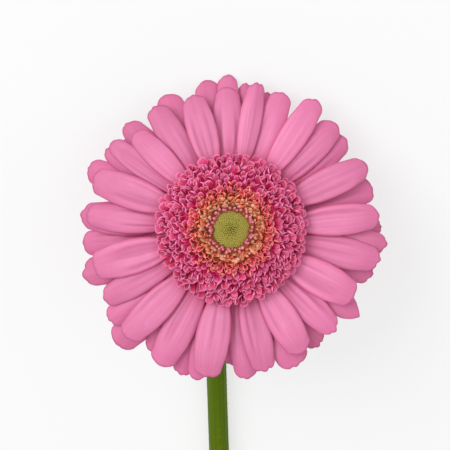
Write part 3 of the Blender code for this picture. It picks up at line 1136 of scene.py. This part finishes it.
def leaf_template(name, line, width, thick, rows=10, columns=5):
    """A narrow keeled leaf with its point at the origin, along a line of (radius, height) points."""
    line = np.array(line)
    steps = np.linalg.norm(np.diff(line, axis=0), axis=1)
    share = np.concatenate([[0], np.cumsum(steps)]) / steps.sum()
    bends = [np.polyfit(share, line[:, axis], 2) for axis in (0, 1)]
    along, across = np.meshgrid(np.linspace(0, 1, rows), np.linspace(-1, 1, columns), indexing="ij")
    radius, height = (np.polyval(bend, along) for bend in bends)
    out, up = (np.polyval(np.polyder(bend), along) for bend in bends)
    out, up = out / np.hypot(out, up), up / np.hypot(out, up)
    half = width / 2 * np.interp(along, (0, 0.3, 0.55, 0.8, 1.0), (0.8, 1.0, 0.88, 0.5, 0.05))
    keel = 0.3 * MM * (1 - abs(across)) * (1 - 0.6 * along)
    wrap = (across * half) ** 2 / (14 * MM)
    depth = thick / 2 * (1 - 0.6 * abs(across)) * (1 - 0.5 * along)
    tip = np.polyval(bends[0], 1.0), np.polyval(bends[1], 1.0)
    sides = []
    for side in (-1, 1):
        push = keel + side * depth
        x, z = radius - tip[0] + up * push - wrap, height - tip[1] - out * push
        sides.append(np.stack([x, across * half, z], -1).reshape(-1, 3))
    mesh = bpy.data.meshes.new(name)
    mesh.from_pydata(np.concatenate(sides).tolist(), [], strap_faces(rows, columns))
    map_strap(mesh, np.tile(across.ravel(), 2), np.tile(along.ravel(), 2))
    mesh.shade_smooth()
    return bpy.data.objects.new(name, mesh)


# Rows of bracts: the solid that a row stands for and how far its points lie from that solid's rim
# (mm), then the leaf's line back from its point (radius and height, mm), leaves, width (mm)
BRACT_ROWS = (
    ("inner", (-3.4, 0.4), ((-6.2, -4.8), (-3.4, -2.6), (-1.6, -1.0), (0, 0)), 26, 3.3),
    ("inner", (0.0, 0.0), ((-11.0, -7.3), (-6.9, -3.4), (-3.6, -1.1), (0, 0)), 28, 3.6),
    ("outer", (0.0, 0.0), ((-10.8, -6.4), (-5.6, -3.7), (-2.5, -1.5), (0, 0)), 23, 3.4),
    ("outer", (-3.0, -1.7), ((-8.9, -5.4), (-4.7, -3.5), (-2.1, -1.7), (0, 0)), 19, 3.1),
)


# The cup from its top to its foot: radius, height (mm)
CUP_OUTLINE = (
    (0, 0.5),
    (12.0, 0.5),
    (12.45, 0.3),
    (12.6, -0.1),
    (12.6, -5.2),
    (11.6, -8.2),
    (9.4, -11.2),
    (6.6, -13.9),
    (4.8, -15.6),
    (4.1, -16.9),
    (0, -17.0),
)


def build_bracts(sizes, colours):
    """Four rows of overlapping bracts with their hairs, and the smooth cup behind them."""
    material = bract_finish(colours)
    down = hair_finish(colours)
    for row, (ring, inset, line, count, width) in enumerate(BRACT_ROWS):
        radius, height = rim_of(f"bracts_{ring}")
        radius, height = radius + inset[0] * MM, height + inset[1] * MM
        line = [(r * MM, h * MM) for r, h in line]
        leaf = leaf_template(f"bract_template_{row}", line, width * MM, 0.5 * MM)
        piece = spiral_group(
            f"bracts_{row}",
            "bract",
            [] if inset[0] else [f"bracts_{ring}"],
            leaf,
            material,
            count=count,
            first=7 * row,
            seed=sizes.seed + 70 + row,
            inner_radius=radius - 0.8 * MM,
            outer_radius=radius - 0.1 * MM,
            inner_height=height + 0.25 * MM,
            outer_height=height - 0.25 * MM,
            inner_size=0.94,
            outer_size=1.0,
            drift=0.15 * MM,
            twist=0.05,
            nod=0.03,
            size_spread=0.05,
        )
        hand_over(grow_hairs(f"bract_hairs_{row}", piece, sizes, down, 80 + row), "bract")
    shift = in_head(corners("receptacle"))[:, 2].max() - CUP_OUTLINE[0][1] * MM
    profile = [(r * MM, h * MM + shift) for r, h in reversed(CUP_OUTLINE)]
    cup = turned_template("cup_skin", profile, 72)
    cup.data.transform(HEAD)
    cup.data.materials.append(cup_finish(colours))
    bpy.context.scene.collection.objects.link(cup)
    hand_over(cup, "receptacle", "receptacle")


# ---------------------------------------------------------------------------------- the stem

PLANE_REACH = 40 * MM  # edges that start further from a section's plane don't count for it
SECTION_REACH = 12 * MM  # nor does what lies further from the point it is cut at
SECTION_STEP = 4 * MM  # from one section to the next
LINE_STEP = 1.5 * MM  # between the points of the finished middle line
CUT_MARGIN = 0.35 * MM  # how far the tube stops short of the cut end
STEM_SIDES = 72
# The cut face from its rim to its middle: share of the radius, height (mm)
CUT_OUTLINE = (
    (0.99, -0.1),
    (0.996, 0.16),
    (0.97, 0.28),
    (0.92, 0.32),
    (0.84, 0.28),
    (0.76, 0.34),
    (0.68, 0.28),
    (0.56, 0.2),
    (0.42, 0.16),
    (0.26, 0.12),
    (0.12, 0.09),
)


def section(node, origin, normal):
    """Centre and mean radius of the cross-section of a solid by a plane, or None past its end."""
    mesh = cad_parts[node].data
    places = np.array([vertex.co for vertex in mesh.vertices])
    side = (places - origin) @ normal
    pairs = np.array([edge.vertices for edge in mesh.edges])
    one, two = side[pairs[:, 0]], side[pairs[:, 1]]
    cut = (one * two < 0) & (abs(one) < PLANE_REACH)
    share = one[cut] / (one[cut] - two[cut])
    hits = places[pairs[cut, 0]] * (1 - share[:, None]) + places[pairs[cut, 1]] * share[:, None]
    hits = hits[np.linalg.norm(hits - origin, axis=1) < SECTION_REACH]
    if len(hits) < 6:
        return None
    centre = (hits.max(0) + hits.min(0)) / 2
    return centre, np.linalg.norm(hits - centre, axis=1).mean()


def stem_line():
    """The stem's middle line from inside the cup to the cut end, as rows of x, y, z and radius."""
    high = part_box("stem")[1]
    places = corners("stem")
    ending = places[places[:, 1] > high.y - 3 * MM]
    end = (ending.max(0) + ending.min(0)) / 2
    base = in_head(corners("receptacle"))[:, 2].min()
    neck = np.array(HEAD @ Vector((0, 0, base + 0.5 * MM)))
    way = np.array([0.0, -1.0, 0.0])
    centre = end + way * MM
    rows = []
    while np.linalg.norm(centre - neck) > 3 * MM:
        found = section("stem", centre, way)
        if not found:
            break
        rows.append((*found[0], found[1]))
        if len(rows) > 1:
            way = np.subtract(rows[-1], rows[-2])[:3]
            way = way / np.linalg.norm(way)
        centre = found[0] + way * SECTION_STEP
    rows = np.array([(*neck, rows[-1][3]), *rows[::-1], (*end, rows[0][3])])
    far = np.concatenate([[0], np.cumsum(np.linalg.norm(np.diff(rows[:, :3], axis=0), axis=1))])
    even = np.linspace(0, far[-1], round(far[-1] / LINE_STEP))
    fine = np.stack([np.interp(even, far, column) for column in rows.T], 1)
    return smoothed(fine, 12), even


def stem_tree():
    """A ribbed tube along the stem's line, closed at both ends."""
    kinds = {"Ribs": "Int", "Rib Depth": "Float", "Sides": "Int", "Material": "Material"}
    tree, nodes, given = new_tree("Ribbed stem", kinds)
    ring = nodes.add("GeometryNodeCurvePrimitiveCircle", {"Resolution": given["Sides"], "Radius": 1.0})
    share = nodes.add("GeometryNodeSplineParameter", output="Factor")
    swing = nodes.math("COSINE", share * given["Ribs"] * (2 * math.pi))
    wide = 1 + given["Rib Depth"] * swing
    spot = nodes.add("GeometryNodeInputPosition")
    push = nodes.add("ShaderNodeVectorMath", {0: spot, "Scale": wide}, operation="SCALE")
    ribbed = nodes.add("GeometryNodeSetPosition", {"Geometry": ring, "Position": push})
    ribbed = store_uv(nodes, ribbed, "around", share)
    line = store_uv(nodes, given["Geometry"], "down", share)
    radius = nodes.add("GeometryNodeInputRadius")
    inputs = {"Curve": line, "Profile Curve": ribbed, "Fill Caps": True, "Scale": radius}
    tube = nodes.add("GeometryNodeCurveToMesh", inputs)
    smooth = nodes.add("GeometryNodeSetShadeSmooth", {"Geometry": tube})
    close_tree(nodes, smooth, given["Material"])
    return tree


def curve_along(name, line):
    """A curve through the rows of a line, which carries their radius."""
    curve = bpy.data.curves.new(name, "CURVE")
    curve.dimensions = "3D"
    spline = curve.splines.new("POLY")
    spline.points.add(len(line) - 1)
    for spot, (x, y, z, radius) in zip(spline.points, line):
        spot.co = (x, y, z, 1)
        spot.radius = radius
    return curve


def grow_hairs(name, piece, sizes, material, seed):
    """Fine hairs on a finished piece."""
    outline = [(0, 0), (0.03 * MM, 0.02 * MM), (0.018 * MM, 0.6 * MM), (0, MM)]
    values = {
        "Hair": turned_template(f"{name}_template", outline, 3),
        "Density": sizes.hair_density,
        "Seed": sizes.seed + seed,
        "Lean": 0.5,
        "Floor": 1.5 * MM,
        "Shortest": 0.3,
        "Longest": 0.7,
        "Material": material,
    }
    tree = bpy.data.node_groups.get("Fine hairs") or hair_tree()
    return grow(name, tree, values, base=piece.data.copy())


def build_cut(sizes, colours, tube, down, way):
    """The cut face on the last ring of the stem's tube: firm rim, ring of bundles, sunken pith."""
    places = np.array([vertex.co for vertex in tube.vertices])
    ring = places[down > down.max() - 1e-6]
    centre = ring.mean(0)
    turn = np.array(Vector(way).to_track_quat("Z", "X").to_matrix())
    flat = (ring - centre) @ turn
    ring = ring[np.argsort(np.arctan2(flat[:, 1], flat[:, 0]))]
    radius = np.linalg.norm(ring - centre, axis=1).mean()
    profile = [(0, -0.1), *CUT_OUTLINE, (0, 0.08)]
    face = turned_template("stem_cut", profile, len(ring))
    rough = np.random.default_rng(sizes.seed)
    rows = [
        centre + (ring - centre) * share + way * (rise * MM + rough.normal(0, 0.025 * MM, (len(ring), 1)))
        for share, rise in CUT_OUTLINE
    ]
    poles = [centre + way * rise * MM for _, rise in (profile[0], profile[-1])]
    face.data.vertices.foreach_set("co", np.concatenate([*rows, poles]).ravel())
    face.data.materials.append(cut_finish(colours, centre, radius))
    bpy.context.scene.collection.objects.link(face)
    hand_over(face, "stem")


def build_stem(sizes, colours):
    """The ribbed tube of the stem, its hairs and its cut face."""
    line, even = stem_line()
    way = line[-1][:3] - line[-6][:3]
    way = way / np.linalg.norm(way)
    line[-1][:3] -= way * CUT_MARGIN
    line[:, 3] *= 1 + 0.12 * (1 - smooth_between(even, 0.0, 7 * MM))
    curve = curve_along("stem_path", line)
    values = {
        "Ribs": sizes.stem_ribs,
        "Rib Depth": sizes.stem_rib_depth,
        "Sides": STEM_SIDES,
        "Material": stem_finish(colours, even[-1]),
    }
    piece = grow("stem_skin", stem_tree(), values, base=curve)
    mesh = piece.data
    down, around = (np.array([d.value for d in mesh.attributes[n].data]) for n in ("down", "around"))
    map_strap(mesh, around * 2 - 1, down)
    hand_over(piece, "stem", "stem")
    hand_over(grow_hairs("stem_hairs", piece, sizes, hair_finish(colours), 90), "stem")
    build_cut(sizes, colours, mesh, down, way)


# --------------------------------------------------------------------------- what users change


def length_property(name, description, default):
    return bpy.props.FloatProperty(
        name=name, description=description, default=default, unit="LENGTH", precision=5
    )


def colour_property(name, description, red, green, blue):
    return bpy.props.FloatVectorProperty(
        name=name, description=description, default=tint(red, green, blue), subtype="COLOR", min=0, max=1
    )


class GerberaSizes(bpy.types.PropertyGroup):
    """Sizes and counts of the flower's looks."""

    seed: bpy.props.IntProperty(name="Seed", description="Start of every random choice", default=5)
    ray_rows: bpy.props.IntProperty(name="Ray rows", description="Points along a ray floret", default=46)
    ray_columns: bpy.props.IntProperty(name="Ray columns", description="Points across a ray", default=27)
    ray_thickness: length_property("Ray thickness", "Thickness of a ray at its middle", 0.42 * MM)
    ray_groove: length_property("Ray groove", "Depth of the lengthwise grooves", 0.28 * MM)
    ray_ripple: length_property("Ray ripple", "Unevenness of a ray's tip", 0.06 * MM)
    ray_arch: bpy.props.FloatProperty(
        name="Ray arch", description="Drop of a ray's edge, as a share of its half width", default=0.17
    )
    ray_shoulder: bpy.props.FloatProperty(
        name="Ray shoulder", description="Extra breadth of a ray near its root, as a share", default=0.2
    )
    ray_fullness: bpy.props.FloatProperty(
        name="Ray fullness", description="Width of a ray against its solid", default=1.04
    )
    trans_density: bpy.props.FloatProperty(
        name="Pink florets", description="Short pink florets in a square metre", default=205000
    )
    trans_lobes: bpy.props.IntProperty(name="Pink lobes", description="Narrow curled pink lobes", default=260)
    disc_lobes: bpy.props.IntProperty(name="Disc lobes", description="Narrow curled disc lobes", default=110)
    disc_density: bpy.props.FloatProperty(
        name="Disc florets", description="Disc florets in a square metre", default=360000
    )
    trans_width: length_property("Pink floret width", "Width of a short pink floret", 2.3 * MM)
    bud_count: bpy.props.IntProperty(name="Buds", description="Unopened buds in the eye", default=340)
    ring_buds: bpy.props.IntProperty(name="Ring buds", description="Larger buds round the eye", default=52)
    hair_density: bpy.props.FloatProperty(
        name="Hairs", description="Stem hairs in a square metre", default=450000
    )
    stem_ribs: bpy.props.IntProperty(name="Stem ribs", description="Ribs round the stem", default=11)
    stem_rib_depth: bpy.props.FloatProperty(
        name="Rib depth", description="Depth of a rib of the stem, as a share of its radius", default=0.022
    )


class GerberaColours(bpy.types.PropertyGroup):
    """Colours of the flower's skins, some of them painted shade or painted highlight."""

    ray: colour_property("Ray", "Middle of a ray floret", 228, 131, 174)
    ray_mid: colour_property("Ray shade", "Darker stripes of a ray", 221, 119, 164)
    ray_pale: colour_property("Pale ray", "Lightest streaks of a ray", 240, 156, 194)
    # Deeper tip and rim of a ray, partly painted shade, and painted shade on the lower rays.
    ray_deep_and_shade: colour_property("Deep ray", "Tip and rim of a ray, and the lower rays", 198, 90, 138)
    # Painted shade in a ray's grooves, and the thin edge of a ray.
    ray_edge_and_crease_shade: colour_property("Ray edge", "Grooves and thin edge of a ray", 170, 64, 114)
    # Foot of a ray, and painted shade in the slots between rays near their roots.
    ray_root: colour_property("Ray root", "Hidden foot of a ray", 196, 36, 102)
    ray_back: colour_property("Ray back", "Underside of a ray", 228, 166, 190)
    # Painted shade in the hollow of a short floret at its foot, also used for the foot of the pink lobes and
    # in the pink floret bed.
    trans_hollow_shade: colour_property("Pink floret hollow", "Foot of a short floret", 206, 24, 94)
    trans_body: colour_property("Pink floret", "Strap of an inner short floret", 224, 84, 122)
    trans_outer: colour_property("Outer pink floret", "Strap of an outer short floret", 218, 78, 140)
    # Pale lip of a short floret, partly a painted highlight on its rolled edge.
    trans_tip: colour_property("Pink floret lip", "Lip of a short floret", 244, 142, 186)
    # Painted shade: the dark magenta seen in the gaps between the short florets.
    trans_bed: colour_property("Pink floret bed", "Tubes under the short florets", 224, 28, 104)
    # Foot of a disc floret, also used as painted shade between the disc florets and between the buds round
    # the eye.
    disc_root_and_shade: colour_property("Disc floret root", "Foot of a disc floret", 140, 36, 26)
    # Painted shade in the hollow of a disc floret, where the next one covers it.
    disc_hollow_shade: colour_property("Disc floret hollow", "Inside of a disc floret", 190, 34, 18)
    disc_body: colour_property("Disc floret", "Tube of a disc floret", 224, 74, 50)
    disc_tip: colour_property("Disc floret tip", "Lips of a disc floret", 248, 156, 126)
    disc_rim: colour_property("Outer disc lip", "Lips next to the pink florets", 246, 146, 160)
    disc_pale: colour_property("Palest disc tip", "A few of the lips", 250, 186, 150)
    disc_gold: colour_property("Golden disc tip", "A few of the lips", 164, 112, 24)
    disc_orange: colour_property("Orange disc tip", "A few of the lips", 216, 92, 40)
    disc_brown: colour_property("Brown disc tip", "A few of the lips", 150, 58, 22)
    bed: colour_property("Floret bed", "Tubes under the disc florets", 150, 70, 24)
    mauve: colour_property("Mauve bud", "Buds round the eye", 204, 106, 116)
    mauve_pale: colour_property("Pale mauve bud", "Tops of the buds round the eye", 234, 156, 162)
    # Foot of a bud, painted darker as the shade between the buds.
    bud_foot_shade: colour_property("Bud root", "Between the buds", 138, 129, 42)
    bud: colour_property("Bud", "Unopened bud", 151, 141, 49)
    bud_light: colour_property("Bud tip", "Top of a bud", 158, 148, 57)
    bract_deep: colour_property("Deep bract", "Darkest green of a bract", 62, 84, 28)
    bract: colour_property("Bract", "Green of a bract", 112, 138, 62)
    bract_edge: colour_property("Bract edge", "Dry edge of a bract", 150, 120, 92)
    stem_deep: colour_property("Deep stem", "Darkest green of the stem", 72, 95, 0)
    stem: colour_property("Stem", "Green of the stem", 92, 117, 0)
    stem_light: colour_property("Light stem", "Lightest green of the stem", 104, 128, 2)
    cut_face: colour_property("Cut face", "Ring of the cut face", 196, 206, 150)
    pith: colour_property("Pith", "Middle of the cut face", 226, 232, 200)
    hair: colour_property("Hair", "Fine hairs", 120, 142, 60)


class RaysOperator(bpy.types.Operator):
    """Builds the ray florets"""

    bl_idname = "gerbera.rays"
    bl_label = "Ray florets"

    def execute(self, context):
        build_rays(context.scene.gerbera_sizes, ray_finish(context.scene.gerbera_colours))
        return {"FINISHED"}


class TransFloretsOperator(bpy.types.Operator):
    """Builds the short pink florets between the rays and the disc"""

    bl_idname = "gerbera.trans_florets"
    bl_label = "Short pink florets"

    def execute(self, context):
        build_trans_florets(context.scene.gerbera_sizes, context.scene.gerbera_colours)
        return {"FINISHED"}


class DiscFloretsOperator(bpy.types.Operator):
    """Builds the disc florets round the eye"""

    bl_idname = "gerbera.disc_florets"
    bl_label = "Disc florets"

    def execute(self, context):
        build_disc_florets(context.scene.gerbera_sizes, context.scene.gerbera_colours)
        return {"FINISHED"}


class EyeOperator(bpy.types.Operator):
    """Builds the eye of unopened buds"""

    bl_idname = "gerbera.eye"
    bl_label = "Eye of buds"

    def execute(self, context):
        build_eye(context.scene.gerbera_sizes, context.scene.gerbera_colours)
        return {"FINISHED"}


class BractsOperator(bpy.types.Operator):
    """Builds the green bracts on the back of the head"""

    bl_idname = "gerbera.bracts"
    bl_label = "Bracts"

    def execute(self, context):
        build_bracts(context.scene.gerbera_sizes, context.scene.gerbera_colours)
        return {"FINISHED"}


class StemOperator(bpy.types.Operator):
    """Builds the stem, its cut face and its hairs"""

    bl_idname = "gerbera.stem"
    bl_label = "Stem"

    def execute(self, context):
        build_stem(context.scene.gerbera_sizes, context.scene.gerbera_colours)
        return {"FINISHED"}


class StageOperator(bpy.types.Operator):
    """Sets the floor, the lights and the camera"""

    bl_idname = "gerbera.stage"
    bl_label = "Stage"

    def execute(self, context):
        build_stage(context.scene)
        return {"FINISHED"}


class GerberaPanel(bpy.types.Panel):
    """Lists the flower's pieces in the sidebar"""

    bl_idname = "VIEW3D_PT_gerbera"
    bl_label = "Gerbera"
    bl_space_type = "VIEW_3D"
    bl_region_type = "UI"
    bl_category = "Gerbera"

    def draw(self, context):
        for operator in OPERATORS:
            self.layout.operator(operator.bl_idname)
        for group in (context.scene.gerbera_sizes, context.scene.gerbera_colours):
            for name in group.bl_rna.properties.keys():
                if name not in ("rna_type", "name"):
                    self.layout.prop(group, name)


OPERATORS = (
    RaysOperator,
    TransFloretsOperator,
    DiscFloretsOperator,
    EyeOperator,
    BractsOperator,
    StemOperator,
    StageOperator,
)
CLASSES = (GerberaSizes, GerberaColours, *OPERATORS, GerberaPanel)

# --------------------------------------------------------------------------------- the stage

LENS, SENSOR = 200.0, 36.0  # mm, the focal length and the width of the sensor
FRAME_WIDTH = 162.3 * MM  # what the camera sees at the face of the head
AIM = Vector((-2.2 * MM, 1.6 * MM, 6 * MM))  # in the head's frame, the middle of the view
FLOOR_SIZE = 6.0
FLOOR_GREY, FLOOR_GLOW = 0.32, 0.62  # what the floor reflects, and the light of its own
FLOOR_DROP = 0.1 * MM  # how far the floor lies under the solid model's lowest point
KEY_SIZE, KEY_POWER, KEY_DISTANCE = 1.7, 38.0, 2.6
KEY_WAY = Vector((-0.62, 0.24, 1.0))  # in the head's frame, towards the lamp
FILL_SIZE, FILL_POWER, FILL_DISTANCE = 2.5, 5.0, 3.0
FILL_WAY = Vector((0.7, -0.2, 1.0))
SKY = 0.72


def area_light(name, place, target, size, power):
    lamp = bpy.data.lights.new(name, "AREA")
    lamp.size = size
    lamp.energy = power
    made = bpy.data.objects.new(name, lamp)
    made.location = place
    made.rotation_euler = (Vector(target) - Vector(place)).to_track_quat("-Z", "Y").to_euler()
    bpy.context.scene.collection.objects.link(made)


def build_stage(scene):
    """A plain floor that glows a little, a soft sky, two soft lamps and the camera."""
    floor_mesh = bpy.data.meshes.new("floor")
    half = FLOOR_SIZE / 2
    floor_mesh.from_pydata(
        [(-half, -half, 0), (half, -half, 0), (half, half, 0), (-half, half, 0)], [], [(0, 1, 2, 3)]
    )
    material, _, surface = finish_of("floor_paper", 0.9)
    surface.inputs["Base Color"].default_value = (FLOOR_GREY, FLOOR_GREY, FLOOR_GREY, 1)
    surface.inputs["Emission Color"].default_value = (1, 1, 1, 1)
    surface.inputs["Emission Strength"].default_value = FLOOR_GLOW
    floor_mesh.materials.append(material)
    floor = bpy.data.objects.new("floor", floor_mesh)
    floor.location.z = CAD_BOX[0].z - FLOOR_DROP
    scene.collection.objects.link(floor)

    centre = HEAD.translation
    sky = bpy.data.worlds.new("studio")
    scene.world = sky
    sky.use_nodes = True
    sky.node_tree.nodes["Background"].inputs["Color"].default_value = (1, 1, 1, 1)
    sky.node_tree.nodes["Background"].inputs["Strength"].default_value = SKY
    above_left = HEAD.to_3x3() @ KEY_WAY.normalized()
    area_light("key_light", centre + above_left * KEY_DISTANCE, centre, KEY_SIZE, KEY_POWER)
    right_side = HEAD.to_3x3() @ FILL_WAY.normalized()
    area_light("fill_light", centre + right_side * FILL_DISTANCE, centre, FILL_SIZE, FILL_POWER)

    lens = bpy.data.cameras.new("camera")
    lens.lens = LENS
    lens.sensor_width = SENSOR
    lens.clip_end = 20.0
    camera = bpy.data.objects.new("camera", lens)
    distance = FRAME_WIDTH * LENS / SENSOR
    camera.matrix_world = HEAD @ Matrix.Translation(AIM + Vector((0, 0, distance)))
    scene.collection.objects.link(camera)
    scene.camera = camera
    scene.view_settings.view_transform = "Standard"


def register():
    for kind in CLASSES:
        bpy.utils.register_class(kind)
    bpy.types.Scene.gerbera_sizes = bpy.props.PointerProperty(type=GerberaSizes)
    bpy.types.Scene.gerbera_colours = bpy.props.PointerProperty(type=GerberaColours)


def unregister():
    del bpy.types.Scene.gerbera_sizes
    del bpy.types.Scene.gerbera_colours
    for kind in reversed(CLASSES):
        bpy.utils.unregister_class(kind)


def main():
    register()
    bpy.ops.gerbera.rays()
    bpy.ops.gerbera.trans_florets()
    bpy.ops.gerbera.disc_florets()
    bpy.ops.gerbera.eye()
    bpy.ops.gerbera.bracts()
    bpy.ops.gerbera.stem()
    bpy.ops.gerbera.stage()


if __name__ == "__main__":
    main()
